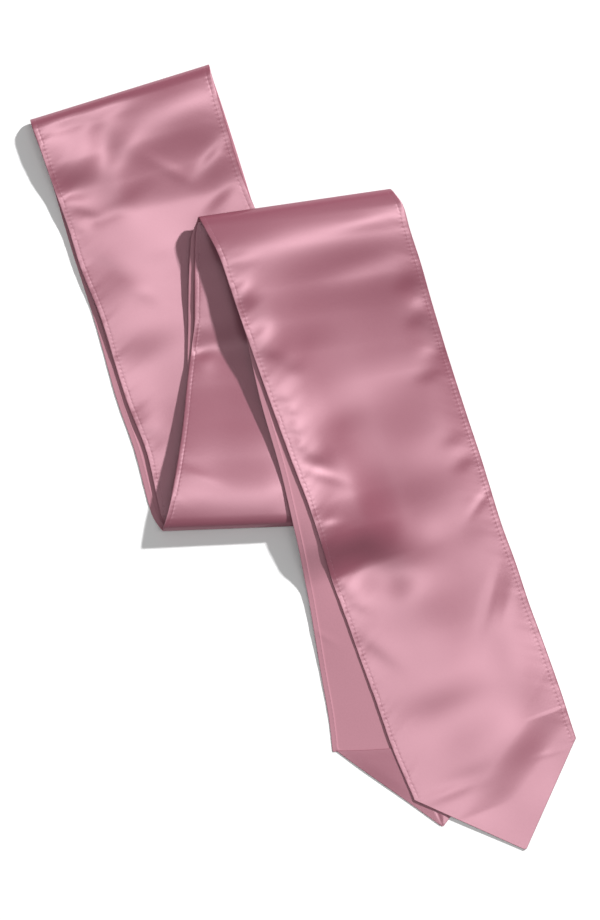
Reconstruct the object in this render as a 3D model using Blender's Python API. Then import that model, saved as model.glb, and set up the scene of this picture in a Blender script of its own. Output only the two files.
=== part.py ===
"""A long satin sash with a right-angled point at each end, lying folded on a flat surface.

The strip is folded in half across its middle with the glossy side out, and the doubled strip is
laid down in three legs: back, middle and front. Each leg turns over at a soft, lofty fold. Both
ends fall at the front, one glossy side up and one dull side up, and a triangular pocket is turned
in behind each point.
"""

import bpy
import numpy as np

# Sizes in millimetres
STRIP_WIDTH = 114.0
WALL = 1.0
LAYER_PITCH = 1.65
STACK_GAP = 0.45
POINT_PUFF = 0.4
HEM_WIDTH = 3.4
HEM_STEP = 0.15
HEM_SHOULDER = 0.5
SEAM_GAP = 0.7
POINT_DEPTH = 53.9
POCKET_INSET = 1.4
POCKET_SET_BACK = 1.0
POCKET_BOW = 4.6
DRAPE_RAMP = 20.0
DRAPE_MARGIN = 5.0
PLAN_CENTRE = (0.36, 1.24)

# Shares of a point's length at which its blunt tip and its pocket's blunt tip are cut off
POINT_STOP = 0.965
POCKET_STOP = 0.945

# Mesh steps in millimetres, and counts of columns and rows
STEP_ALONG = 11.0
STEP_AT_POINT = 7.0
STEP_IN_FOLD = 2.6
LEAST_STEP = 0.6
SLOPE_STEP = 0.05
STEEP = 0.25
INSIDE_COLUMNS = 11
POCKET_COLUMNS = 14
POCKET_ROWS = 11
SECTIONS_TO_TIP = 4
SECTIONS_PAST_TIP = 2

METRES = 0.001

# Sections across the doubled strip, a row each, from the fold at its middle to the front.
# The plan places of the two long edges come first, then heights of the surface between the
# two layers at the left edge, in the middle and at the right edge.
SHORT_COLUMNS = ("left_x", "left_y", "right_x", "right_y", "z_left", "z_mid", "z_right")

MIDDLE_FOLD_UPPER = (
    (-168.5, 208.6, -57.6, 243.0, 5.25, 4.75, 4.25),
    (-168.1, 207.1, -57.2, 241.5, 8.8, 7.7, 6.9),
    (-167.0, 203.6, -56.4, 238.0, 10.1, 8.8, 7.9),
    (-163.4, 193.8, -53.0, 226.6, 10.9, 9.3, 8.4),
    (-159.0, 181.3, -48.7, 212.3, 9.9, 8.6, 7.7),
    (-151.6, 160.3, -42.5, 191.3, 5.4, 5.1, 5.1),
    (-144.8, 141.1, -35.0, 168.9, 2.2, 2.0, 2.2),
)
MIDDLE_FOLD_LOWER = (
    (-168.5, 208.6, -57.6, 243.0, 5.0, 4.5, 4.0),
    (-168.2, 207.7, -57.3, 242.1, 2.7, 2.5, 2.3),
    (-167.2, 204.6, -56.6, 239.0, 1.5, 1.45, 1.4),
    (-161.5, 189.4, -51.1, 222.3, 1.325, 1.325, 1.325),
)
BACK_LEG = (
    (-138.6, 120.6, -25.1, 144.2, 1.325, 1.325, 1.325),
    (-125.9, 89.0, -13.3, 108.8, 1.325, 1.325, 1.325),
    (-109.4, 36.3, 3.4, 51.8, 1.325, 1.325, 1.325),
    (-96.4, 2.2, 17.1, 13.3, 1.325, 1.325, 1.325),
    (-88.4, -34.0, 27.6, -29.6, 1.4, 1.4, 1.4),
    (-86.6, -41.7, 29.6, -37.3, 3.3, 3.2, 3.0),
    (-86.2, -43.7, 30.1, -39.3, 8.0, 7.7, 7.2),
)
MIDDLE_LEG = (
    (-85.7, -41.7, 30.4, -37.3, 12.6, 12.0, 10.9),
    (-84.3, -36.8, 31.0, -32.4, 14.1, 13.3, 11.6),
    (-81.4, -24.0, 31.8, -19.7, 15.0, 14.0, 10.8),
    (-77.2, -0.9, 33.8, 5.3, 13.2, 11.8, 8.0),
    (-73.8, 23.2, 36.3, 30.1, 10.1, 9.1, 6.2),
    (-71.6, 45.6, 38.1, 53.6, 7.0, 6.4, 4.8),
    (-69.1, 67.3, 40.6, 77.8, 5.3, 4.8, 3.8),
    (-67.0, 87.1, 43.1, 99.5, 6.4, 6.0, 4.4),
    (-67.0, 107.6, 45.6, 121.8, 8.4, 7.8, 6.0),
    (-66.7, 136.5, 51.2, 152.5, 10.6, 9.9, 8.1),
    (-65.0, 146.8, 54.2, 164.2, 11.2, 10.5, 9.0),
    (-64.4, 148.4, 54.7, 165.8, 14.0, 13.3, 12.0),
)

# The front leg has more heights across it. The first is beyond the left edge, where the end
# that lies underneath comes out to the side.
LONG_COLUMNS = (
    "left_x", "left_y", "right_x", "right_y",
    "z_out", "z_left", "z_quarter", "z_mid", "z_three_quarter", "z_right",
)
ACROSS = (-0.3, 0.0, 0.25, 0.5, 0.75, 1.0)
PLAN_COLUMNS = 4

FRONT_LEG = (
    (-62.9, 146.4, 57.1, 163.8, 18.5, 18.5, 18.2, 17.5, 16.6, 15.7),
    (-60.0, 141.3, 61.9, 157.4, 20.2, 20.2, 19.9, 19.0, 18.0, 16.9),
    (-52.7, 127.4, 66.4, 142.2, 21.8, 21.8, 21.1, 20.0, 18.7, 17.3),
    (-43.3, 100.8, 73.8, 119.3, 20.7, 20.7, 19.0, 17.0, 15.4, 14.2),
    (-36.3, 80.3, 79.7, 98.3, 19.2, 19.2, 16.6, 13.9, 12.2, 11.2),
    (-29.4, 60.5, 86.2, 76.6, 17.8, 17.8, 14.6, 11.3, 9.3, 8.2),
    (-20.8, 36.3, 91.5, 59.2, 17.4, 17.4, 14.0, 9.9, 6.6, 4.9),
    (-6.5, -2.8, 102.6, 24.5, 17.3, 17.7, 15.0, 9.2, 4.8, 2.8),
    (4.0, -30.1, 110.4, 0.9, 16.9, 17.6, 15.3, 7.6, 3.8, 1.7),
    (10.8, -50.5, 115.6, -15.8, 10.5, 15.8, 13.6, 6.0, 3.0, 1.325),
    (18.3, -76.0, 123.1, -40.0, 4.6, 5.2, 5.4, 4.6, 2.4, 1.325),
    (27.6, -101.4, 132.4, -65.4, 2.8, 3.2, 3.2, 3.0, 1.8, 1.325),
    (36.3, -126.2, 140.4, -89.6, 1.6, 2.2, 2.1, 2.0, 1.4, 1.325),
    (45.0, -149.7, 149.1, -113.2, 1.325, 1.5, 1.5, 1.4, 1.325, 1.325),
    (56.1, -181.3, 160.3, -144.8, 1.325, 1.325, 1.325, 1.325, 1.325, 1.325),
    (69.1, -211.7, 169.6, -173.3, 1.325, 1.325, 1.325, 1.325, 1.325, 1.325),
)

# Where each layer's long edges stand, in shares of the section's width from its left end:
# row, left edge, right edge. Rows are counted from the first row of the back leg.
UPPER_EDGES = (
    (-8.0, 0.0, 1.0),
    (12.0, 0.0, 1.0),
    (13.0, -0.02, 0.98),
    (14.0, -0.035, 0.965),
    (16.0, -0.02, 0.98),
    (18.0, 0.0, 1.0),
    (40.0, 0.0, 1.0),
)
LOWER_EDGES = (
    (-5.0, 0.0, 1.0),
    (-1.0, 0.0, 1.0),
    (0.0, -0.014, 0.986),
    (1.0, -0.035, 0.965),
    (2.0, -0.049, 0.951),
    (3.0, -0.06, 0.94),
    (4.0, -0.045, 0.955),
    (5.0, -0.02, 0.98),
    (6.0, -0.005, 0.995),
    (9.0, 0.0, 1.0),
    (23.0, 0.0, 1.0),
    (24.0, -0.02, 0.99),
    (25.0, -0.046, 0.976),
    (26.0, -0.073, 0.953),
    (27.0, -0.109, 0.925),
    (28.0, -0.13, 0.905),
    (29.0, -0.15, 0.883),
    (30.0, -0.194, 0.844),
    (31.0, -0.237, 0.812),
    (32.0, -0.278, 0.777),
    (40.0, -0.6, 0.46),
)

# Where each point's corners and tip stand: row, and share of the section's width.
END_A_POINT = {"left": (34.0, 0.0), "right": (34.0, 1.0), "tip": (38.0, 0.5)}
END_B_POINT = {"left": (32.65, -0.3), "right": (33.3, 0.728), "tip": (35.65, 0.1)}

# Numbers of the sections at the folds, counted as above
MIDDLE_FOLD_UPPER_ROW = -7.0
MIDDLE_FOLD_LOWER_ROW = -4.0
LOW_FOLD_ROW = 6.0
TOP_FOLD_ROW = 18.0
END_STARTS_ROW = 31.5

# Finishes: colour, roughness, metallic
GLOSSY_SIDE = ((0.50, 0.215, 0.285), 0.36, 0.0)
DULL_SIDE = ((0.53, 0.25, 0.32), 0.6, 0.0)


def monotone_spline(knots, values, places):
    """Smooth curve through the values that never overshoots them."""
    step = np.diff(knots)
    slope = np.diff(values, axis=0) / step[:, None]
    tangent = np.zeros_like(values)
    tangent[0] = slope[0]
    tangent[-1] = slope[-1]
    before, after = slope[:-1], slope[1:]
    near = (2 * step[1:] + step[:-1])[:, None]
    far = (step[1:] + 2 * step[:-1])[:, None]
    same_way = before * after > 0
    safe_before = np.where(same_way, before, 1.0)
    safe_after = np.where(same_way, after, 1.0)
    mean = (near + far) / (near / safe_before + far / safe_after)
    tangent[1:-1] = np.where(same_way, mean, 0.0)
    span = np.clip(np.searchsorted(knots, places) - 1, 0, len(knots) - 2)
    width = step[span]
    part = (places - knots[span]) / width
    part = part[..., None]
    width = width[..., None]
    start, end = values[span], values[span + 1]
    out = start * (1 + 2 * part) * (1 - part) ** 2
    out += end * part**2 * (3 - 2 * part)
    out += tangent[span] * width * part * (1 - part) ** 2
    out += tangent[span + 1] * width * part**2 * (part - 1)
    return out


def across_section(heights, share):
    """Heights at the given shares of each section, level beyond its outermost columns."""
    knots = np.array(ACROSS)
    inside = np.clip(share, knots[0], knots[-1])
    rows = np.arange(len(heights))[:, None]
    slope = np.diff(heights, axis=1) / np.diff(knots)
    product = slope[:, :-1] * slope[:, 1:]
    total = slope[:, :-1] + slope[:, 1:]
    safe_total = np.where(product > 0, total, 1.0)
    tangent = np.zeros_like(heights)
    tangent[:, 1:-1] = np.where(product > 0, 2 * product / safe_total, 0.0)
    tangent[:, -1] = slope[:, -1]
    tangent[:, 0] = slope[:, 0]
    span = np.clip(np.searchsorted(knots, inside) - 1, 0, len(knots) - 2)
    width = np.diff(knots)[span]
    part = (inside - knots[span]) / width
    out = heights[rows, span] * (1 + 2 * part) * (1 - part) ** 2
    out += heights[rows, span + 1] * part**2 * (3 - 2 * part)
    out += tangent[rows, span] * width * part * (1 - part) ** 2
    out += tangent[rows, span + 1] * width * part**2 * (part - 1)
    return out


def widened(rows):
    """Rows with three heights, given the six heights of the front leg's rows."""
    table = np.array(rows)
    left, mid, right = (table[:, SHORT_COLUMNS.index(name)] for name in ("z_left", "z_mid", "z_right"))
    heights = (left, left, (left + mid) / 2, mid, (mid + right) / 2, right)
    return np.column_stack([table[:, :PLAN_COLUMNS], *heights])


def point_rows():
    """Sections past the last corner, at equal steps to the tip and a little beyond."""
    last = np.array(FRONT_LEG[-1])
    across = last[2:4] - last[0:2]
    across /= np.linalg.norm(across)
    onward = np.array([across[1], -across[0]])
    rows = []
    for step in range(1, SECTIONS_TO_TIP + SECTIONS_PAST_TIP + 1):
        move = onward * POINT_DEPTH * step / SECTIONS_TO_TIP
        row = last.copy()
        row[0:2] += move
        row[2:4] += move
        rows.append(row)
    return np.array(rows)


class Path:
    """The run of sections that one layer follows."""

    def __init__(self, fold_rows, beyond_fold):
        lead = widened(fold_rows)
        shared = [widened(BACK_LEG), widened(MIDDLE_LEG), np.array(FRONT_LEG), point_rows()]
        self.table = np.vstack([widened(beyond_fold[1:2]), lead, *shared])
        column = dict(zip(LONG_COLUMNS, self.table.T))
        centre = np.column_stack([
            (column["left_x"] + column["right_x"]) / 2,
            (column["left_y"] + column["right_y"]) / 2,
            column["z_mid"],
        ])
        steps = np.linalg.norm(np.diff(centre, axis=0), axis=1)
        self.distances = np.concatenate([[0.0], np.cumsum(steps)])
        self.numbers = np.arange(len(self.table)) - 1.0 - len(lead)

    def at_row(self, row):
        return np.interp(row, self.numbers, self.distances)

    def surface(self, distance, share):
        """Points of the surface between the two layers."""
        rows = monotone_spline(self.distances, self.table, distance)
        left_x, left_y, right_x, right_y = (rows[:, i, None] for i in range(PLAN_COLUMNS))
        x = left_x + (right_x - left_x) * share
        y = left_y + (right_y - left_y) * share
        z = across_section(rows[:, PLAN_COLUMNS:], share)
        return np.stack([x, y, z], axis=-1)

    def normals(self, distance, share):
        ahead = self.surface(distance + SLOPE_STEP, share)
        behind = self.surface(distance - SLOPE_STEP, share)
        small = SLOPE_STEP / STRIP_WIDTH
        right = self.surface(distance, share + small)
        left = self.surface(distance, share - small)
        normal = np.cross(ahead - behind, right - left)
        return normal / np.linalg.norm(normal, axis=-1, keepdims=True)


def edge_share(path, table, point, distance):
    """Shares of the section's width where a layer's long edges stand at each distance."""
    rows = np.array(table)
    knots = path.at_row(rows[:, 0])
    both = monotone_spline(knots, rows[:, 1:], distance)
    if point is None:
        return both[:, 0], both[:, 1]
    tip_at = path.at_row(point["tip"][0])
    edges = []
    for side, name in enumerate(("left", "right")):
        corner_at = path.at_row(point[name][0])
        part = np.clip((distance - corner_at) / (tip_at - corner_at), 0, 1)
        slanted = point[name][1] + (point["tip"][1] - point[name][1]) * part
        edges.append(np.where(distance < corner_at, both[:, side], slanted))
    return edges[0], edges[1]


def smooth(part):
    part = np.clip(part, 0, 1)
    return part * part * (3 - 2 * part)


def end_b_depth(path, distance, share):
    """How far inside the outline of the end underneath each place is, in millimetres."""
    left, right = edge_share(path, LOWER_EDGES, END_B_POINT, distance)
    tip = path.at_row(END_B_POINT["tip"][0])
    inward = np.minimum(share - left[:, None], right[:, None] - share) * STRIP_WIDTH
    return np.minimum(inward, (tip - distance)[:, None])


def pocket_top(path, point, share, bow):
    """Distance along the path of a pocket's straight upper edge, sagging by the bow."""
    left_at = path.at_row(point["left"][0])
    right_at = path.at_row(point["right"][0])
    span = point["right"][1] - point["left"][1]
    part = np.clip((share - point["left"][1]) / span, 0, 1)
    return left_at + (right_at - left_at) * part + bow * 4 * part * (1 - part)


def over_end_b(path, distance, share):
    """Extra height of what lies on the end underneath, against lying beside it."""
    depth = end_b_depth(path, distance, share)
    on_strip = smooth(1 + (depth + DRAPE_MARGIN) / DRAPE_RAMP)
    past_edge = distance[:, None] - pocket_top(path, END_B_POINT, share, POCKET_BOW)
    on_pocket = smooth(1 + (np.minimum(depth, past_edge) + DRAPE_MARGIN) / DRAPE_RAMP)
    return LAYER_PITCH * (on_strip - 1) + (WALL + STACK_GAP) * on_pocket


def over_pocket_a(path, distance, share):
    past_edge = distance[:, None] - pocket_top(path, END_A_POINT, share, 0.0)
    return (WALL + STACK_GAP + POINT_PUFF) * smooth(1 + (past_edge + DRAPE_MARGIN) / DRAPE_RAMP)


def lift_nothing(path, distance, share):
    return np.zeros_like(share)


def lift_end_a(path, distance, share):
    return over_end_b(path, distance, share) + over_pocket_a(path, distance, share)


def lift_pocket_a(path, distance, share):
    return over_end_b(path, distance, share)


def lift_pocket_b(path, distance, share):
    return np.full_like(share, WALL + STACK_GAP)


def stations(path, row_from, row_to):
    """Distances of a stretch's sections: every row, and even steps between rows."""
    start = path.at_row(row_from)
    end = path.at_row(row_to)
    inside = (path.distances > start + LEAST_STEP) & (path.distances < end - LEAST_STEP)
    marks = np.concatenate([[start], path.distances[inside], [end]])
    z_left = LONG_COLUMNS.index("z_left")
    heights = monotone_spline(path.distances, path.table, marks)[:, z_left]
    found = [marks[:1]]
    for low, high, z_low, z_high in zip(marks, marks[1:], heights, heights[1:]):
        steep = abs(z_high - z_low) > STEEP * (high - low)
        step = STEP_IN_FOLD if steep else STEP_ALONG
        if low > path.at_row(END_STARTS_ROW):
            step = STEP_AT_POINT
        count = max(1, int(round((high - low) / step)))
        found.append(np.linspace(low, high, count + 1)[1:])
    return np.concatenate(found)


def column_shares():
    """Shares of the strip's width of the columns: two edges, two hem steps and the inside."""
    hem = HEM_WIDTH / STRIP_WIDTH
    shoulder = (HEM_WIDTH + HEM_SHOULDER) / STRIP_WIDTH
    inside = np.linspace(shoulder, 1 - shoulder, INSIDE_COLUMNS)
    shares = np.concatenate([[0.0, hem], inside, [1 - hem, 1.0]])
    step = np.where((shares <= hem) | (shares >= 1 - hem), HEM_STEP, 0.0)
    return shares, step


def closed_body(name, outer, inner, finish):
    """One closed body between two grids of points with the same layout."""
    rows, columns = outer.shape[:2]
    count = rows * columns
    points = np.concatenate([outer.reshape(-1, 3), inner.reshape(-1, 3)])
    points[:, 2] = np.maximum(points[:, 2], 0.0)
    index = np.arange(count).reshape(rows, columns)
    faces = []
    for i in range(rows - 1):
        for j in range(columns - 1):
            a, b = index[i, j], index[i, j + 1]
            c, d = index[i + 1, j + 1], index[i + 1, j]
            faces.append((a, b, c, d))
            faces.append((a + count, d + count, c + count, b + count))
    ring = [*index[0, :], *index[1:, -1], *index[-1, -2::-1], *index[-2:0:-1, 0]]
    for a, b in zip(ring, ring[1:] + ring[:1]):
        faces.append((b, a, a + count, b + count))
    corners = points[np.array(faces)]
    volume = np.einsum("ij,ij->", corners[:, 0], np.cross(corners[:, 1], corners[:, 2]))
    volume += np.einsum("ij,ij->", corners[:, 0], np.cross(corners[:, 2], corners[:, 3]))
    if volume < 0:
        faces = [face[::-1] for face in faces]
    points[:, 0] -= PLAN_CENTRE[0]
    points[:, 1] -= PLAN_CENTRE[1]
    mesh = bpy.data.meshes.new(name)
    mesh.from_pydata((points * METRES).tolist(), [], [tuple(map(int, face)) for face in faces])
    mesh.validate()
    body = bpy.data.objects.new(name, mesh)
    bpy.context.scene.collection.objects.link(body)
    colour, roughness, metallic = finish
    material = bpy.data.materials.new(name + "_finish")
    material.use_nodes = True
    shader = material.node_tree.nodes["Principled BSDF"]
    shader.inputs["Base Color"].default_value = (*colour, 1.0)
    shader.inputs["Roughness"].default_value = roughness
    shader.inputs["Metallic"].default_value = metallic
    mesh.materials.append(material)
    return body


def stretch(name, path, side, rows, edges, point, lift, finish):
    """One stretch of cloth: side is 1 for the layer that starts on top and -1 for the other."""
    distance = stations(path, *rows)
    if rows[1] in (LOW_FOLD_ROW, TOP_FOLD_ROW):
        distance[-1] -= SEAM_GAP / 2
    distance[0] += SEAM_GAP / 2
    if point is not None:
        corners = [path.at_row(point[key][0]) for key in ("left", "right")]
        distance = np.unique(np.concatenate([distance, corners]))
        close = np.diff(distance, prepend=distance[0] - STEP_ALONG) < LEAST_STEP
        distance = distance[~close | np.isin(distance, corners)]
    left, right = edge_share(path, edges, point, distance)
    columns, hem_step = column_shares()
    share = left[:, None] + (right - left)[:, None] * columns[None, :]
    normal = path.normals(distance, share)
    centre = path.surface(distance, share) + side * LAYER_PITCH / 2 * normal
    centre[..., 2] += lift(path, distance, share)
    glossy = centre + side * normal * WALL / 2
    dull = centre - side * normal * (WALL / 2 + hem_step[None, :, None])
    return closed_body(name, glossy, dull, finish)


def pocket(name, path, side, edges, point, bow, lift, finish):
    """The triangle of cloth turned in behind a point."""
    corner_rows = (point["left"][0], point["right"][0])
    first = path.at_row(min(corner_rows)) + POCKET_SET_BACK
    last = first + (path.at_row(point["tip"][0]) - first) * POCKET_STOP
    left, right = edge_share(path, edges, point, np.array([first, last]))
    inset = POCKET_INSET / STRIP_WIDTH
    top_share, tip_share = np.linspace(left + inset, right - inset, POCKET_COLUMNS, axis=1)
    top = pocket_top(path, point, top_share, bow) + POCKET_SET_BACK
    down = np.linspace(0, 1, POCKET_ROWS)[:, None]
    share = (top_share * (1 - down) + tip_share * down).reshape(-1, 1)
    along = (top * (1 - down) + last * down).reshape(-1)
    normal = path.normals(along, share)
    centre = path.surface(along, share) + side * LAYER_PITCH / 2 * normal
    centre[..., 2] += lift(path, along, share)
    grid = (POCKET_ROWS, POCKET_COLUMNS, 3)
    outer = (centre + normal * WALL / 2).reshape(grid)
    inner = (centre - normal * WALL / 2).reshape(grid)
    return closed_body(name, outer, inner, finish)


def last_row(point):
    """Row at which an end's blunt tip is cut off."""
    corner = point["left"][0]
    return corner + (point["tip"][0] - corner) * POINT_STOP


def build():
    for item in list(bpy.data.objects):
        bpy.data.objects.remove(item, do_unlink=True)
    upper = Path(MIDDLE_FOLD_UPPER, MIDDLE_FOLD_LOWER)
    lower = Path(MIDDLE_FOLD_LOWER, MIDDLE_FOLD_UPPER)
    stretch(
        "back_stretch_lower", lower, -1, (MIDDLE_FOLD_LOWER_ROW, LOW_FOLD_ROW),
        LOWER_EDGES, None, lift_nothing, DULL_SIDE,
    )
    stretch(
        "back_stretch_upper", upper, 1, (MIDDLE_FOLD_UPPER_ROW, LOW_FOLD_ROW),
        UPPER_EDGES, None, lift_nothing, GLOSSY_SIDE,
    )
    stretch(
        "middle_stretch_lower", upper, 1, (LOW_FOLD_ROW, TOP_FOLD_ROW),
        UPPER_EDGES, None, lift_nothing, DULL_SIDE,
    )
    stretch(
        "middle_stretch_upper", lower, -1, (LOW_FOLD_ROW, TOP_FOLD_ROW),
        LOWER_EDGES, None, lift_nothing, GLOSSY_SIDE,
    )
    stretch(
        "end_b_fall", lower, -1, (TOP_FOLD_ROW, last_row(END_B_POINT)),
        LOWER_EDGES, END_B_POINT, lift_nothing, DULL_SIDE,
    )
    stretch(
        "end_a_fall", upper, 1, (TOP_FOLD_ROW, last_row(END_A_POINT)),
        UPPER_EDGES, END_A_POINT, lift_end_a, GLOSSY_SIDE,
    )
    pocket(
        "end_b_pocket", lower, -1, LOWER_EDGES, END_B_POINT, POCKET_BOW, lift_pocket_b, GLOSSY_SIDE,
    )
    pocket(
        "end_a_pocket", upper, 1, UPPER_EDGES, END_A_POINT, 0.0, lift_pocket_a, GLOSSY_SIDE,
    )


build()
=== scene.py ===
"""A folded satin sash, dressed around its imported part.

The cloth is one long strip, folded in half across its middle and laid down in three legs. Each
stretch between two folds is a thin closed sheet with a glossy and a dull side, and neighbouring
sheets meet edge to edge at the folds. The long edges are turned and stitched, and a triangular
pocket is turned in behind each pointed end.
"""

import math
from collections import namedtuple

import bpy
import numpy as np
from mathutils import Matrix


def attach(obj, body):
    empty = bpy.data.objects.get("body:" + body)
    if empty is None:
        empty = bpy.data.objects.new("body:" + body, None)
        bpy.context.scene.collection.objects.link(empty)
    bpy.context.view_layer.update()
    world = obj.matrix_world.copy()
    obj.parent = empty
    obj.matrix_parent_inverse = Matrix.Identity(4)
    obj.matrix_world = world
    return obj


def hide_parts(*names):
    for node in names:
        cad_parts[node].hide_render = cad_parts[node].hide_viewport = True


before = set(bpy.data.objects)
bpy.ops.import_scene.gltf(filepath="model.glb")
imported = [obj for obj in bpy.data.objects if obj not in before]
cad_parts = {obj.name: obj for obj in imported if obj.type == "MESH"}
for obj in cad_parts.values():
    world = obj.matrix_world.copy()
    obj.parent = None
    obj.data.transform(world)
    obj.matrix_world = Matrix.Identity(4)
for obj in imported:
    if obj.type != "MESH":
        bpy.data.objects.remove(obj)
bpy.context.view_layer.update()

bl_info = {
    "name": "Folded satin sash",
    "version": (1, 0, 0),
    "blender": (4, 5, 0),
    "location": "3D View > Sidebar > Sash",
    "description": "Builds a folded satin sash with stitched hems and pointed ends",
    "category": "Add Mesh",
}

METRES = 0.001

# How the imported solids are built, in millimetres: the strip, its wall, the pitch of its two
# layers, the turned points and the middle of the plan
STRIP_WIDTH = 114.0
WALL = 1.0
LAYER_PITCH = 1.65
POINT_DEPTH = 53.9
POCKET_BOW = 4.6
PLAN_CENTRE = (0.36, 1.24)
SECTIONS_TO_TIP = 4
SECTIONS_PAST_TIP = 2

# How the thin sheets of the front lie on one another. They settle between these two rows,
# fall beside the end underneath and rise over the pockets. The ramps between the two stop
# this margin outside the edge that they climb.
SETTLE = 1.2
SETTLE_ROWS = (24.0, 33.0)
SHEET_FALL = 0.75
SHEET_RISE = 0.3
DRAPE_RAMP = 45.0
DRAPE_MARGIN = 5.0

# Sections across the doubled strip, a row each, from the fold at its middle to the front.
# The plan places of the two long edges come first, then heights of the surface between the
# two layers at the left edge, in the middle and at the right edge.
SHORT_COLUMNS = ("left_x", "left_y", "right_x", "right_y", "z_left", "z_mid", "z_right")

MIDDLE_FOLD_UPPER = (
    (-168.5, 208.6, -57.6, 243.0, 5.25, 4.75, 4.25),
    (-168.1, 207.1, -57.2, 241.5, 8.8, 7.7, 6.9),
    (-167.0, 203.6, -56.4, 238.0, 10.1, 8.8, 7.9),
    (-163.4, 193.8, -53.0, 226.6, 10.9, 9.3, 8.4),
    (-159.0, 181.3, -48.7, 212.3, 9.9, 8.6, 7.7),
    (-151.6, 160.3, -42.5, 191.3, 5.4, 5.1, 5.1),
    (-144.8, 141.1, -35.0, 168.9, 2.2, 2.0, 2.2),
)
MIDDLE_FOLD_LOWER = (
    (-168.5, 208.6, -57.6, 243.0, 5.25, 4.75, 4.25),
    (-168.2, 207.7, -57.3, 242.1, 2.7, 2.5, 2.3),
    (-167.2, 204.6, -56.6, 239.0, 1.5, 1.45, 1.4),
    (-161.5, 189.4, -51.1, 222.3, 1.325, 1.325, 1.325),
)
BACK_LEG = (
    (-138.6, 120.6, -25.1, 144.2, 1.325, 1.325, 1.325),
    (-125.9, 89.0, -13.3, 108.8, 1.325, 1.325, 1.325),
    (-109.4, 36.3, 3.4, 51.8, 1.325, 1.325, 1.325),
    (-96.4, 2.2, 17.1, 13.3, 1.325, 1.325, 1.325),
    (-88.4, -34.0, 27.6, -29.6, 1.4, 1.4, 1.4),
    (-86.6, -41.7, 29.6, -37.3, 3.3, 3.2, 3.0),
    (-86.2, -43.7, 30.1, -39.3, 8.0, 7.7, 7.2),
)
MIDDLE_LEG = (
    (-85.7, -41.7, 30.4, -37.3, 12.6, 12.0, 10.9),
    (-84.3, -36.8, 31.0, -32.4, 14.1, 13.3, 11.6),
    (-81.4, -24.0, 31.8, -19.7, 15.0, 14.0, 10.8),
    (-77.2, -0.9, 33.8, 5.3, 13.2, 11.8, 8.0),
    (-73.8, 23.2, 36.3, 30.1, 10.1, 9.1, 6.2),
    (-71.6, 45.6, 38.1, 53.6, 7.0, 6.4, 4.8),
    (-69.1, 67.3, 40.6, 77.8, 5.3, 4.8, 3.8),
    (-67.0, 87.1, 43.1, 99.5, 6.4, 6.0, 4.4),
    (-67.0, 107.6, 45.6, 121.8, 8.4, 7.8, 6.0),
    (-66.7, 136.5, 51.2, 152.5, 10.6, 9.9, 8.1),
    (-65.0, 146.8, 54.2, 164.2, 11.2, 10.5, 9.0),
    (-64.4, 148.4, 54.7, 165.8, 14.0, 13.3, 12.0),
)

# The front leg has more heights across it. The first is beyond the left edge, where the end
# that lies underneath comes out to the side.
LONG_COLUMNS = (
    "left_x", "left_y", "right_x", "right_y",
    "z_out", "z_left", "z_quarter", "z_mid", "z_three_quarter", "z_right",
)
ACROSS = (-0.3, 0.0, 0.25, 0.5, 0.75, 1.0)
PLAN_COLUMNS = 4

FRONT_LEG = (
    (-62.9, 146.4, 57.1, 163.8, 18.5, 18.5, 18.2, 17.5, 16.6, 15.7),
    (-60.0, 141.3, 61.9, 157.4, 20.2, 20.2, 19.9, 19.0, 18.0, 16.9),
    (-52.7, 127.4, 66.4, 142.2, 21.8, 21.8, 21.1, 20.0, 18.7, 17.3),
    (-43.3, 100.8, 73.8, 119.3, 20.7, 20.7, 19.0, 17.0, 15.4, 14.2),
    (-36.3, 80.3, 79.7, 98.3, 19.2, 19.2, 16.6, 13.9, 12.2, 11.2),
    (-29.4, 60.5, 86.2, 76.6, 17.8, 17.8, 14.6, 11.3, 9.3, 8.2),
    (-20.8, 36.3, 91.5, 59.2, 17.4, 17.4, 14.0, 9.9, 6.6, 4.9),
    (-6.5, -2.8, 102.6, 24.5, 17.3, 17.7, 15.0, 9.2, 4.8, 2.8),
    (4.0, -30.1, 110.4, 0.9, 16.9, 17.6, 15.3, 7.6, 3.8, 1.7),
    (10.8, -50.5, 115.6, -15.8, 10.5, 15.8, 13.6, 6.0, 3.0, 1.325),
    (18.3, -76.0, 123.1, -40.0, 4.6, 5.2, 5.4, 4.6, 2.4, 1.325),
    (27.6, -101.4, 132.4, -65.4, 2.8, 3.2, 3.2, 3.0, 1.8, 1.325),
    (36.3, -126.2, 140.4, -89.6, 1.6, 2.2, 2.1, 2.0, 1.4, 1.325),
    (45.0, -149.7, 149.1, -113.2, 1.325, 1.5, 1.5, 1.4, 1.325, 1.325),
    (56.1, -181.3, 160.3, -144.8, 1.325, 1.325, 1.325, 1.325, 1.325, 1.325),
    (69.1, -211.7, 169.6, -173.3, 1.325, 1.325, 1.325, 1.325, 1.325, 1.325),
)

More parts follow.
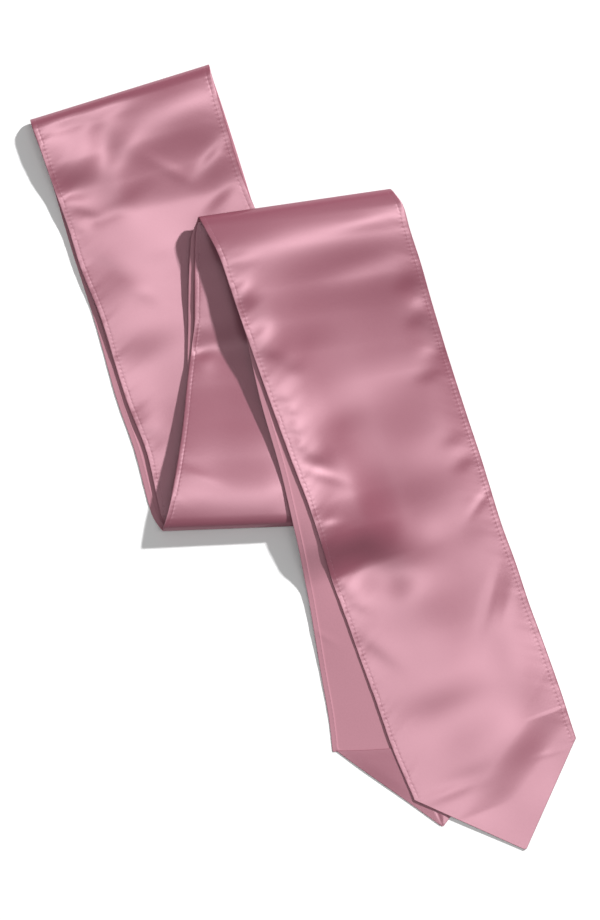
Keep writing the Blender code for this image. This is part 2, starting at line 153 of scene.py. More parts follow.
# Where each layer's long edges stand, in shares of the section's width from its left end:
# row, left edge, right edge. Rows are counted from the first row of the back leg.
UPPER_EDGES = (
    (-8.0, 0.0, 1.0),
    (12.0, 0.0, 1.0),
    (13.0, -0.02, 0.98),
    (14.0, -0.035, 0.965),
    (16.0, -0.02, 0.98),
    (18.0, 0.0, 1.0),
    (40.0, 0.0, 1.0),
)
LOWER_EDGES = (
    (-5.0, 0.0, 1.0),
    (-1.0, 0.0, 1.0),
    (0.0, -0.014, 0.986),
    (1.0, -0.035, 0.965),
    (2.0, -0.049, 0.951),
    (3.0, -0.06, 0.94),
    (4.0, -0.045, 0.955),
    (5.0, -0.02, 0.98),
    (6.0, -0.005, 0.995),
    (9.0, 0.0, 1.0),
    (23.0, 0.0, 1.0),
    (24.0, -0.02, 0.99),
    (25.0, -0.046, 0.976),
    (26.0, -0.073, 0.953),
    (27.0, -0.109, 0.925),
    (28.0, -0.13, 0.905),
    (29.0, -0.15, 0.883),
    (30.0, -0.194, 0.844),
    (31.0, -0.237, 0.812),
    (32.0, -0.278, 0.777),
    (40.0, -0.6, 0.46),
)

# Where each point's corners and tip stand: row, and share of the section's width.
END_A_POINT = {"left": (34.0, 0.0), "right": (34.0, 1.0), "tip": (38.0, 0.5)}
END_B_POINT = {"left": (32.65, -0.3), "right": (33.3, 0.728), "tip": (35.65, 0.1)}
POINT_STOP = 0.985

# Numbers of the sections at the folds, counted as above
MIDDLE_FOLD_UPPER_ROW = -7.0
MIDDLE_FOLD_LOWER_ROW = -4.0
LOW_FOLD_ROW = 6.0
TOP_FOLD_ROW = 18.0

# Mesh steps in millimetres. Columns stand close together over the hem, and rows where the
# cloth is steep and before a rounded tip.
STEP_SHOWN = 1.2
STEP_HIDDEN = 2.4
STEP_IN_FOLD = 0.6
STEP_INSIDE = 2.5
HEM_COLUMNS = (
    0.0, 0.05, 0.2, 0.45, 0.9, 1.5, 2.1, 2.55, 2.85, 3.1, 3.35, 3.65, 4.2, 5.1, 6.4, 8.2, 10.5,
)
STEEP_SLOPE = 0.3
TIP_STEPS = (1.2, 0.6, 0.25, 0.08)
TIP_CLEARANCE = 0.4
SLOPE_STEP = 0.05
POCKET_COLUMNS = 61
POCKET_ROWS = 41
SHORTEST_NORMAL = 1e-12

# Soft creases: the middle in the plan, half length and half width, all in
# millimetres, the heading in degrees from +X, and the amount
Crease = namedtuple("Crease", ("x", "y", "half_length", "half_width", "heading", "amount"))

# Ridges and troughs. The amount is the height towards the viewer, in millimetres.
BACK_RIDGES = (
    (-83.0, 178.0, 15.0, 4.0, -29.0, 0.30),
    (-118.0, 152.0, 12.0, 5.0, 25.0, -0.20),
    (-104.0, 104.0, 14.0, 4.5, -30.0, 0.20),
)
MIDDLE_RIDGES = (
    (-50.0, 67.5, 34.0, 7.0, 8.0, -0.50),
    (-66.0, -12.0, 14.0, 4.0, -18.0, 0.35),
    (-40.0, 24.0, 22.0, 9.0, -12.0, -0.25),
)
END_A_RIDGES = (
    (-42.0, 121.0, 12.0, 5.0, 6.0, 0.30),
    (38.0, 145.0, 20.0, 5.0, 8.0, 0.25),
    (12.0, -11.5, 14.0, 3.5, -18.0, 0.28),
    (110.0, -28.0, 11.0, 3.0, 55.0, 0.20),
    (116.0, -88.0, 18.0, 4.0, 76.0, 0.26),
    (127.0, -90.0, 14.0, 4.0, 82.0, -0.24),
    (92.0, -208.0, 20.0, 4.0, 21.0, 0.24),
    (155.0, -183.5, 9.0, 1.4, 15.0, 0.10),
)
END_B_RIDGES = (
    (14.0, -112.0, 9.0, 2.0, -35.0, 0.20),
)

# Places where the cloth slopes more, or less, than the leg that it lies on. The amount is the
# slope added there in degrees, which rises to the left of the heading.
BACK_SLOPES = (
    (-130.0, 160.0, 40.0, 20.0, 17.0, -6.0),
    (-76.0, 202.0, 22.0, 10.0, 24.0, 4.0),
    (-72.0, 163.0, 22.0, 8.0, 17.0, 1.5),
    (-103.0, 165.0, 16.0, 7.0, 40.0, 2.5),
    (-110.0, 200.0, 11.0, 8.0, 17.0, -5.0),
    (-119.0, 182.0, 9.0, 8.0, 17.0, -7.0),
    (-140.0, 190.0, 12.0, 7.0, 17.0, -4.0),
    (-127.0, 206.0, 9.0, 5.0, 15.0, 4.5),
    (-137.0, 171.0, 10.0, 6.0, 10.0, 2.5),
    (-143.0, 160.0, 9.0, 4.0, 0.0, -9.0),
    (-133.0, 150.5, 8.0, 2.8, -16.0, 6.0),
    (-139.0, 140.0, 6.0, 2.6, -22.0, 5.0),
    (-57.0, 187.0, 15.0, 3.6, 52.0, -8.0),
    (-51.0, 160.0, 12.0, 3.5, 45.0, -6.0),
    (-121.0, 120.0, 15.0, 3.6, -28.0, 5.0),
    (-90.0, 124.0, 20.0, 8.0, 10.0, 2.4),
    (-97.0, 99.0, 24.0, 9.0, 15.0, 3.2),
    (-98.0, 68.0, 24.0, 12.0, 18.0, 4.6),
    (-97.0, 15.0, 9.0, 5.0, 5.0, 5.5),
)
MIDDLE_SLOPES = (
    (-50.0, 78.0, 24.0, 12.0, 8.0, 5.0),
    (-62.0, 62.0, 6.0, 3.0, 5.0, -7.0),
    (-60.0, 93.0, 9.0, 5.0, 12.0, 3.0),
    (-56.0, 127.0, 14.0, 9.0, 10.0, 5.0),
)
FRONT_SLOPES = (
    (70.0, -10.0, 50.0, 16.0, -70.0, 3.5),
    (42.0, -10.0, 35.0, 11.0, -70.0, 4.5),
    (92.0, -10.0, 50.0, 9.0, -70.0, 1.5),
    (84.0, -62.0, 35.0, 20.0, -70.0, 2.5),
    (64.0, 2.0, 60.0, 20.0, 18.0, -1.9),
    (14.0, -2.0, 14.0, 22.0, 20.0, 3.6),
    (30.0, 34.0, 30.0, 20.0, -70.0, 4.0),
    (34.0, 92.0, 55.0, 20.0, 15.0, -2.6),
    (48.0, 118.0, 34.0, 7.0, 16.0, -5.5),
    (66.0, 62.0, 24.0, 13.0, 18.0, -4.0),
    (-10.0, 66.0, 24.0, 10.0, 20.0, 2.5),
    (29.0, -58.0, 17.0, 7.0, 22.0, 13.0),
    (44.0, -82.0, 34.0, 14.0, 20.0, -5.4),
    (50.0, -77.0, 13.0, 9.0, -70.0, -5.5),
    (78.0, -44.0, 26.0, 12.0, 20.0, -2.0),
    (62.0, -118.0, 34.0, 18.0, 20.0, -2.4),
    (54.0, -27.0, 18.0, 14.0, 25.0, -1.5),
    (54.0, -40.0, 14.0, 17.0, 20.0, -5.0),
    (112.0, -196.0, 26.0, 14.0, -60.0, 2.0),
)
END_A_SLOPES = (
    (-35.0, 95.0, 8.0, 5.0, 10.0, 4.5),
    (-38.0, 106.0, 6.0, 4.0, 10.0, -4.5),
    (-27.0, 77.0, 8.0, 6.0, 15.0, -5.0),
    (-18.0, 62.0, 9.0, 4.0, -12.0, 5.0),
    (-7.0, 55.0, 7.0, 4.0, -20.0, 4.0),
    (64.0, 107.0, 8.0, 5.0, 20.0, 4.0),
    (72.0, 96.0, 6.0, 5.0, 30.0, -5.0),
    (70.0, 84.0, 7.0, 5.0, 20.0, 4.0),
    (80.0, 67.0, 9.0, 5.0, 20.0, -5.0),
    (78.0, 50.0, 8.0, 4.0, 20.0, 4.0),
    (-12.0, 35.0, 5.0, 2.5, -20.0, 4.0),
    (-8.0, 27.0, 5.0, 2.0, -25.0, 5.0),
    (-5.0, 15.0, 5.0, 2.0, -30.0, 6.0),
    (-3.0, 5.0, 4.0, 2.0, -30.0, 5.0),
    (25.0, 20.0, 16.0, 9.0, 22.0, 2.5),
    (8.0, -2.0, 9.0, 3.6, -20.0, 6.5),
    (17.0, -41.0, 7.0, 2.6, 5.0, -7.0),
    (25.0, -82.0, 7.0, 2.5, -40.0, 6.0),
    (33.0, -93.0, 7.0, 2.5, -36.0, 5.0),
    (47.0, -122.0, 15.0, 3.6, -40.0, 6.0),
    (100.0, -5.0, 7.0, 4.0, 30.0, 4.5),
    (93.0, 10.0, 8.0, 5.0, 25.0, 3.5),
    (105.0, -48.0, 10.0, 8.0, 15.0, 1.5),
    (88.0, -152.0, 24.0, 10.0, 14.0, 2.4),
    (140.0, -150.0, 12.0, 18.0, 20.0, 2.2),
    (128.0, -180.0, 16.0, 10.0, 25.0, 1.4),
    (106.0, -195.0, 16.0, 8.0, 15.0, 2.6),
    (125.0, -208.0, 13.0, 6.0, 10.0, 0.8),
)

# A slope's rise fades out over this many half widths
SLOPE_FADE = 3.5

# Long, low swells that every stretch has: wave length, heading in degrees and height
SWELLS = ((61.0, 24.0, 0.06), (43.0, 101.0, 0.045), (29.0, 63.0, 0.015))

# Small puckers along the hems: wave length and share of the depth. They fade inwards over the
# reach, and lean by this much for each millimetre inwards.
PUCKER_WAVES = ((6.9, 0.3), (10.3, 0.4), (16.1, 0.6))
PUCKER_REACH = 7.0
PUCKER_LEAN = 0.6

# How far the drawn-out highlights are turned from the strip's run, in turns
SHINE_TURN = 0.326
SHINE_TURN_MIDDLE = 0.405
SHINE_TURN_POCKET = 0.35

# How strongly each side's highlight is drawn out, its index of refraction and its level
GLOSSY_LOOK = {"anisotropy": 0.95, "ior": 2.0, "level": 0.56}
DULL_LOOK = {"anisotropy": 0.3, "ior": 1.5, "level": 0.6}
DULL_ROUGHNESS = 0.68

# The grain: how far colour and roughness stray, scales of the patterns, and relief in metres
SATIN_TONES = (0.93, 1.07)
ROUGHNESS_SPREAD = 0.03
THREAD_TONES = (0.75, 1.0)
THREAD_ROUGHNESS = (0.6, 0.45)
PAPER_TONES = (0.99, 1.0)
MOTTLE_SCALE = 900.0
PLY_SCALE = 900.0
PAPER_SCALE = 300.0
FLOAT_RELIEF = 0.000012
HEM_RELIEF = 0.000014

# Creases fade out towards a fold's seam over this length
SEAM_FADE = 14.0

# The section through a hem, in millimetres: the rounded rim as shares of the thickness, the
# hem's inner shoulder, its soft puff and the groove along the stitches
RIM_SHARE = 0.6
RIM_DROP = 0.48
HEM_SHOULDER = 0.5
HEM_PUFF = 0.03
PUFF_RISE = 0.8
PUFF_FALL_FROM = 1.6
PUFF_FALL = 1.2
GROOVE_DEPTH = 0.04
GROOVE_WIDTH = 0.4

# At a point's corners the hem ends over this length. Along the slants the distance from the
# edge is less than that across the strip by this share.
HEM_END = 3.0
SLANT_LOSS = 0.3
TIP_MARGIN = 0.05

# One stitch: its rings as shares of its half length, the corners of a ring, its rise and bow
# in thread radii and its taper. The half length and the room left before a fold are shares
# of the pitch, and the room left before a point's corner is in millimetres.
STITCH_RINGS = (-1.0, -0.72, -0.3, 0.3, 0.72, 1.0)
STITCH_CORNERS = 6
STITCH_RISE = 0.2
STITCH_BOW = 1.3
STITCH_TAPER = 0.55
STITCH_HALF = 0.43
ROOM_AT_FOLD = 0.6
ROOM_AT_CORNER = 2.0

# A pocket's stack behind its point, in millimetres: its full depth at each end, its layers of
# cloth at the slants, how it swells away from them, how it eases towards the upper edge as
# shares of the depth, its rounded rim and the seam down its middle
POCKET_STOP = POINT_STOP - 0.01
STACK_B = 1.05
STACK_A = 0.95
SLANT_LAYERS = 2.1
SWELL_FROM = 0.6
SWELL_LENGTH = 7.0
EASE_SHARES = (0.55, 0.45)
EASE_LENGTH = 9.0
POCKET_RIM = 0.3
RIM_MARGIN = 0.03
SEAM_DEPTH = 0.16
SEAM_WIDTH = 1.1
SEAM_START = 4.0

# The stage, in metres: the floor, the side light, the long light overhead, and the camera,
# which stands far off so that the light looks the same all over the sash
FLOOR_HALF = 2.5
FLOOR_DROP = 0.0001
FLOOR_ROUGHNESS = 0.9
FLOOR_LEVEL = 0.1
SIDE_LIGHT_REACH = 6.0
SIDE_LIGHT_SIZE = 0.3
OVERHEAD_PLACE = (0.0, 0.16, 8.0)
OVERHEAD_SIZE = (7.6, 0.85)
CAMERA_PLACE = (-0.0019, -0.0022, 12.0)
CAMERA_CLIP = (0.1, 40.0)
TALL_VIEW = 0.5704

# Width of the camera's sensor, in millimetres
SENSOR_WIDTH = 36.0


class SashSizes(bpy.types.PropertyGroup):
    """Sizes of the cloth, its hems and its stitches."""

    cloth: bpy.props.FloatProperty(
        name="Cloth", description="Thickness of one layer of satin", default=0.00035,
        unit="LENGTH", precision=5,
    )
    hem: bpy.props.FloatProperty(
        name="Hem", description="Thickness of the turned and stitched edge", default=0.0007,
        unit="LENGTH", precision=5,
    )
    hem_width: bpy.props.FloatProperty(
        name="Hem width", description="Width of the turned edge", default=0.0034,
        unit="LENGTH", precision=4,
    )
    stitch_line: bpy.props.FloatProperty(
        name="Stitch line", description="How far the stitches stand in from the edge",
        default=0.0031, unit="LENGTH", precision=4,
    )
    stitch_pitch: bpy.props.FloatProperty(
        name="Stitch pitch", description="Length of a stitch with its hole", default=0.0028,
        unit="LENGTH", precision=4,
    )
    thread: bpy.props.FloatProperty(
        name="Thread", description="Thickness of the sewing thread", default=0.00015,
        unit="LENGTH", precision=5,
    )
    pucker: bpy.props.FloatProperty(
        name="Pucker", description="Depth of the small puckers along the hems", default=0.00006,
        unit="LENGTH", precision=5,
    )
    crease: bpy.props.FloatProperty(
        name="Creases", description="How strongly the soft creases stand out", default=1.0,
        min=0.0, max=2.0, subtype="FACTOR",
    )


class SashFinish(bpy.types.PropertyGroup):
    """Colours of the satin and its thread."""

    glossy: bpy.props.FloatVectorProperty(
        name="Glossy side", description="Body colour of the glossy side", size=3, subtype="COLOR",
        default=(0.235, 0.072, 0.102),
    )
    shine: bpy.props.FloatVectorProperty(
        name="Shine", description="Tint of the glossy side's highlights", size=3, subtype="COLOR",
        default=(0.95, 0.617, 0.70),
    )
    dull: bpy.props.FloatVectorProperty(
        name="Dull side", description="Colour of the dull side", size=3, subtype="COLOR",
        default=(0.43, 0.20, 0.245),
    )
    thread: bpy.props.FloatVectorProperty(
        name="Thread", description="Colour of the sewing thread", size=3, subtype="COLOR",
        default=(0.44, 0.21, 0.265),
    )
    roughness: bpy.props.FloatProperty(
        name="Roughness", description="Roughness of the glossy side", default=0.40, min=0.0, max=1.0,
        subtype="FACTOR",
    )


class SashStage(bpy.types.PropertyGroup):
    """Floor, lights and camera."""

    floor: bpy.props.FloatVectorProperty(
        name="Floor", description="Colour of the floor", size=3, subtype="COLOR",
        default=(0.93, 0.93, 0.93),
    )
    key: bpy.props.FloatProperty(
        name="Side light", description="Power of the light that throws the shadows, in watts",
        default=480.0,
    )
    key_elevation: bpy.props.FloatProperty(
        name="Side light height", description="Angle of the side light above the floor",
        default=math.radians(36.0), subtype="ANGLE",
    )
    overhead: bpy.props.FloatProperty(
        name="Overhead light", description="Power of the light straight above, in watts", default=165.0
    )
    surround: bpy.props.FloatProperty(
        name="Surround", description="Brightness of the room around", default=0.23, min=0.0
    )


def hermite(start, end, leaving, arriving, width, part):
    """Cubic between two values with the given slopes, at a part of the way across a width."""
    out = start * (1 + 2 * part) * (1 - part) ** 2
    out += end * part**2 * (3 - 2 * part)
    out += leaving * width * part * (1 - part) ** 2
    out += arriving * width * part**2 * (part - 1)
    return out


def monotone_spline(knots, values, places):
    """Smooth curve through the values that never overshoots them."""
    step = np.diff(knots)
    slope = np.diff(values, axis=0) / step[:, None]
    tangent = np.zeros_like(values)
    tangent[0] = slope[0]
    tangent[-1] = slope[-1]
    before, after = slope[:-1], slope[1:]
    near = (2 * step[1:] + step[:-1])[:, None]
    far = (step[1:] + 2 * step[:-1])[:, None]
    same_way = before * after > 0
    safe_before = np.where(same_way, before, 1.0)
    safe_after = np.where(same_way, after, 1.0)
    mean = (near + far) / (near / safe_before + far / safe_after)
    tangent[1:-1] = np.where(same_way, mean, 0.0)
    span = np.clip(np.searchsorted(knots, places) - 1, 0, len(knots) - 2)
    width = step[span][..., None]
    part = (places - knots[span])[..., None] / width
    return hermite(values[span], values[span + 1], tangent[span], tangent[span + 1], width, part)


def across_section(heights, share):
    """Heights at the given shares of each section, level beyond its outermost columns."""
    knots = np.array(ACROSS)
    inside = np.clip(share, knots[0], knots[-1])
    rows = np.arange(len(heights))[:, None]
    slope = np.diff(heights, axis=1) / np.diff(knots)
    product = slope[:, :-1] * slope[:, 1:]
    total = slope[:, :-1] + slope[:, 1:]
    safe_total = np.where(product > 0, total, 1.0)
    tangent = np.zeros_like(heights)
    tangent[:, 1:-1] = np.where(product > 0, 2 * product / safe_total, 0.0)
    tangent[:, -1] = slope[:, -1]
    tangent[:, 0] = slope[:, 0]
    span = np.clip(np.searchsorted(knots, inside) - 1, 0, len(knots) - 2)
    width = np.diff(knots)[span]
    part = (inside - knots[span]) / width
    start, end = heights[rows, span], heights[rows, span + 1]
    return hermite(start, end, tangent[rows, span], tangent[rows, span + 1], width, part)


def widened(rows):
    """Rows with three heights, given the six heights of the front leg's rows."""
    table = np.array(rows)
    left, mid, right = (table[:, SHORT_COLUMNS.index(name)] for name in ("z_left", "z_mid", "z_right"))
    heights = (left, left, (left + mid) / 2, mid, (mid + right) / 2, right)
    return np.column_stack([table[:, :PLAN_COLUMNS], *heights])


def point_rows():
    """Sections past the last corner, at equal steps to the tip and a little beyond."""
    last = np.array(FRONT_LEG[-1])
    across = last[2:4] - last[0:2]
    across /= np.linalg.norm(across)
    onward = np.array([across[1], -across[0]])
    rows = []
    for step in range(1, SECTIONS_TO_TIP + SECTIONS_PAST_TIP + 1):
        move = onward * POINT_DEPTH * step / SECTIONS_TO_TIP
        row = last.copy()
        row[0:2] += move
        row[2:4] += move
        rows.append(row)
    return np.array(rows)


class Path:
    """The run of sections that one layer follows."""

    def __init__(self, fold_rows, beyond_fold):
        lead = widened(fold_rows)
        shared = [widened(BACK_LEG), widened(MIDDLE_LEG), np.array(FRONT_LEG), point_rows()]
        self.table = np.vstack([widened(beyond_fold[1:2]), lead, *shared])
        column = dict(zip(LONG_COLUMNS, self.table.T))
        centre = np.column_stack([
            (column["left_x"] + column["right_x"]) / 2,
            (column["left_y"] + column["right_y"]) / 2,
            column["z_mid"],
        ])
        steps = np.linalg.norm(np.diff(centre, axis=0), axis=1)
        self.distances = np.concatenate([[0.0], np.cumsum(steps)])
        self.numbers = np.arange(len(self.table)) - 1.0 - len(lead)

    def at_row(self, row):
        """Distance along the path at a section's number."""
        return np.interp(row, self.numbers, self.distances)

    def surface(self, distance, share):
        """Points of the surface between the two layers."""
        rows = monotone_spline(self.distances, self.table, distance)
        left_x, left_y, right_x, right_y = (rows[:, i, None] for i in range(PLAN_COLUMNS))
        x = left_x + (right_x - left_x) * share
        y = left_y + (right_y - left_y) * share
        z = across_section(rows[:, PLAN_COLUMNS:], share)
        return np.stack([x, y, z], axis=-1)

    def normals(self, distance, share):
        """Unit normals of the surface, towards the upper layer."""
        ahead = self.surface(distance + SLOPE_STEP, share)
        behind = self.surface(distance - SLOPE_STEP, share)
        small = SLOPE_STEP / STRIP_WIDTH
        right = self.surface(distance, share + small)
        left = self.surface(distance, share - small)
        normal = np.cross(ahead - behind, right - left)
        return normal / np.linalg.norm(normal, axis=-1, keepdims=True)


def edge_share(path, table, point, distance):
    """Shares of the section's width where a layer's long edges stand at each distance."""
    rows = np.array(table)
    knots = path.at_row(rows[:, 0])
    both = monotone_spline(knots, rows[:, 1:], distance)
    if point is None:
        return both[:, 0], both[:, 1]
    tip_at = path.at_row(point["tip"][0])
    edges = []
    for side, name in enumerate(("left", "right")):
        corner_at = path.at_row(point[name][0])
        part = np.clip((distance - corner_at) / (tip_at - corner_at), 0, 1)
        slanted = point[name][1] + (point["tip"][1] - point[name][1]) * part
        edges.append(np.where(distance < corner_at, both[:, side], slanted))
    return edges[0], edges[1]


def smooth(part):
    """Eases from 0 to 1, and stays level on both sides."""
    part = np.clip(part, 0, 1)
    return part * part * (3 - 2 * part)


def end_b_depth(path, distance, share):
    """How far inside the outline of the end underneath each place is, in millimetres."""
    left, right = edge_share(path, LOWER_EDGES, END_B_POINT, distance)
    tip = path.at_row(END_B_POINT["tip"][0])
    inward = np.minimum(share - left[:, None], right[:, None] - share) * STRIP_WIDTH
    return np.minimum(inward, (tip - distance)[:, None])


def pocket_top(path, point, share, bow):
    """Distance along the path of a pocket's straight upper edge, sagging by the bow."""
    left_at = path.at_row(point["left"][0])
    right_at = path.at_row(point["right"][0])
    span = point["right"][1] - point["left"][1]
    part = np.clip((share - point["left"][1]) / span, 0, 1)
    return left_at + (right_at - left_at) * part + bow * 4 * part * (1 - part)


def over_end_b(path, distance, share):
    """Extra height of what lies on the end underneath, against lying beside it."""
    depth = end_b_depth(path, distance, share)
    on_strip = smooth(1 + (depth + DRAPE_MARGIN) / DRAPE_RAMP)
    past_edge = distance[:, None] - pocket_top(path, END_B_POINT, share, POCKET_BOW)
    on_pocket = smooth(1 + (np.minimum(depth, past_edge) + DRAPE_MARGIN) / DRAPE_RAMP)
    return SHEET_FALL * (on_strip - 1) + SHEET_RISE * on_pocket


def over_pocket_a(path, distance, share):
    """Extra height of the front end over its own pocket."""
    past_edge = distance[:, None] - pocket_top(path, END_A_POINT, share, 0.0)
    return SHEET_RISE * smooth(1 + (past_edge + DRAPE_MARGIN) / DRAPE_RAMP)


def lift_nothing(path, distance, share):
    return np.zeros_like(share)


def lift_end_a(path, distance, share):
    """Sheets are thinner than the solids, so the front end settles towards its point."""
    first, last = (path.at_row(row) for row in SETTLE_ROWS)
    settled = SETTLE * smooth((distance - first) / (last - first))[:, None]
    return over_end_b(path, distance, share) + over_pocket_a(path, distance, share) - settled


def crease_places(crease, x, y):
    """Places along and across one crease, in its half lengths and half widths."""
    turn = math.radians(crease.heading)
    away_x, away_y = x - crease.x, y - crease.y
    along = away_x * math.cos(turn) + away_y * math.sin(turn)
    across = away_y * math.cos(turn) - away_x * math.sin(turn)
    return along / crease.half_length, across / crease.half_width


def ridges(table, x, y):
    """Height of the soft ridges and troughs."""
    height = np.zeros_like(x)
    for ridge in map(Crease._make, table):
        along, across = crease_places(ridge, x, y)
        height += ridge.amount * np.exp(-(along**2) - across**2)
    return height


def slopes(table, x, y):
    """Height of the soft slopes, which level out again on both sides."""
    height = np.zeros_like(x)
    for slope in map(Crease._make, table):
        along, across = crease_places(slope, x, y)
        rise = math.tan(math.radians(slope.amount)) * slope.half_width
        height += rise * np.tanh(across) * np.exp(-(along**2) - (across / SLOPE_FADE) ** 2)
    return height


def swells(x, y):
    """Height of the long, low swells."""
    height = np.zeros_like(x)
    for wave, heading, rise in SWELLS:
        turn = math.radians(heading)
        height += rise * np.sin(2 * math.pi * (x * math.cos(turn) + y * math.sin(turn)) / wave + wave)
    return height


def puckers(distance, inward):
    """Small waves along the hems that fade inwards."""
    height = np.zeros_like(inward)
    for wave, part in PUCKER_WAVES:
        height += part * np.sin(2 * math.pi * (distance + PUCKER_LEAN * inward) / wave)
    return height * np.exp(-np.maximum(inward, 0) / PUCKER_REACH)


def in_frame(grid):
    """The points in the part's own frame, with none of them below what the sash lies on."""
    grid[..., 0] -= PLAN_CENTRE[0]
    grid[..., 1] -= PLAN_CENTRE[1]
    grid[..., 2] = np.maximum(grid[..., 2], 0.0)
    return grid


class Stretch:
    """One stretch of cloth between two folds, or between a fold and a pointed end."""

    def __init__(self, name, path, side, rows, edges, point=None, lift=lift_nothing,
                 creases=((), ()), glossy_up=True, step=STEP_SHOWN):
        self.name = name
        self.path = path
        self.side = side
        self.start = path.at_row(rows[0])
        self.stop = path.at_row(rows[1])
        self.edges = edges
        self.point = point
        self.lift = lift
        self.creases = creases
        self.up = 1.0 if glossy_up else -1.0
        self.step = step

    def limits(self, distance):
        """Shares of the section's width where the stretch's two edges stand."""
        return edge_share(self.path, self.edges, self.point, distance)

    def inward(self, distance, share):
        """How far inside the cloth's edge each place is, and how much of a hem is there."""
        left, right = self.limits(distance)
        gap = np.minimum(share - left[:, None], right[:, None] - share) * STRIP_WIDTH
        if self.point is None:
            return gap, np.ones_like(gap)
        corners = [self.path.at_row(self.point[key][0]) for key in ("left", "right")]
        nearer_left = share - left[:, None] < right[:, None] - share
        past = distance[:, None] - np.where(nearer_left, corners[0], corners[1])
        slanted = smooth(past / HEM_END + 0.5)
        gap = gap * (1 - SLANT_LOSS * slanted)
        return np.minimum(gap, (self.stop - distance)[:, None] + TIP_MARGIN), 1 - slanted

    def face(self, distance, share, sizes):
        """Points of the glossy face with its creases, and which way it faces."""
        normal = self.path.normals(distance, share) * self.side
        points = self.path.surface(distance, share) + normal * (LAYER_PITCH + WALL) / 2
        points[..., 2] += self.lift(self.path, distance, share)
        x = points[..., 0] - PLAN_CENTRE[0]
        y = points[..., 1] - PLAN_CENTRE[1]
        from_seam = distance - self.start
        if self.point is None:
            from_seam = np.minimum(from_seam, self.stop - distance)
        inside = smooth(from_seam / SEAM_FADE)[:, None]
        inward, hemmed = self.inward(distance, share)
        relief = ridges(self.creases[0], x, y) + slopes(self.creases[1], x, y) + swells(x, y)
        relief *= inside * sizes.crease * self.up
        relief += puckers(distance[:, None], inward) * hemmed * sizes.pucker / METRES
        return points + normal * relief[..., None], normal

    def shell(self, distance, share, sizes):
        """Points of the glossy and the dull face."""
        points, normal = self.face(distance, share, sizes)
        inward, hemmed = self.inward(distance, share)
        cloth = sizes.cloth / METRES
        hem = sizes.hem / METRES
        line = sizes.stitch_line / METRES
        in_hem = 1 - smooth((inward - sizes.hem_width / METRES) / HEM_SHOULDER)
        thick = cloth + (hem - cloth) * in_hem * hemmed
        puff = HEM_PUFF * hemmed * smooth(inward / PUFF_RISE)
        puff *= 1 - smooth((inward - PUFF_FALL_FROM) / PUFF_FALL)
        groove = GROOVE_DEPTH * hemmed * np.exp(-(((inward - line) / GROOVE_WIDTH) ** 2))
        rim = RIM_SHARE * thick
        beyond = np.clip(1 - inward / rim, 0, 1)
        drop = thick * RIM_DROP * (1 - np.sqrt(1 - beyond**2))
        outer = points + normal * (puff - groove - drop)[..., None]
        inner = points + normal * (puff - groove - thick + drop)[..., None]
        return in_frame(outer), in_frame(inner)

    def stations(self):
        """Distances of the mesh's rows, closer where the cloth turns over."""
        marks = np.arange(self.start, self.stop, STEP_IN_FOLD / 2)
        heights = monotone_spline(self.path.distances, self.path.table, marks)
        z_left = heights[:, LONG_COLUMNS.index("z_left")]
        slope = np.abs(np.gradient(z_left, marks))
        density = np.where(slope > STEEP_SLOPE, 1 / STEP_IN_FOLD, 1 / self.step)
        total = np.concatenate([[0.0], np.cumsum(density[1:] * np.diff(marks))])
        count = int(total[-1]) + 1
        found = np.interp(np.linspace(0, total[-1], count + 1), total, marks)
        found[0], found[-1] = self.start, self.stop
        if self.point is not None:
            last = self.stop - np.array(TIP_STEPS)
            before = found[found < last[0] - TIP_CLEARANCE]
            found = np.concatenate([before, last, [self.stop]])
        return found


def column_shares():
    """Shares of the strip's width of the mesh's columns."""
    hem = np.array(HEM_COLUMNS)
    first = hem[-1] + STEP_INSIDE
    count = int(round((STRIP_WIDTH - 2 * first) / STEP_INSIDE)) + 1
    inside = np.linspace(first, STRIP_WIDTH - first, count)
    return np.concatenate([hem, inside, STRIP_WIDTH - hem[::-1]]) / STRIP_WIDTH


def placed(data):
    """A new object in the scene for a mesh, light or camera, with the same name."""
    piece = bpy.data.objects.new(data.name, data)
    bpy.context.scene.collection.objects.link(piece)
    return piece


def grid_normals(grid):
    """Unit normals of a grid of points, from its neighbours on both sides."""
    down = np.gradient(grid, axis=0)
    over = np.gradient(grid, axis=1)
    normal = np.cross(down, over)
    size = np.linalg.norm(normal, axis=-1, keepdims=True)
    return normal / np.maximum(size, SHORTEST_NORMAL)


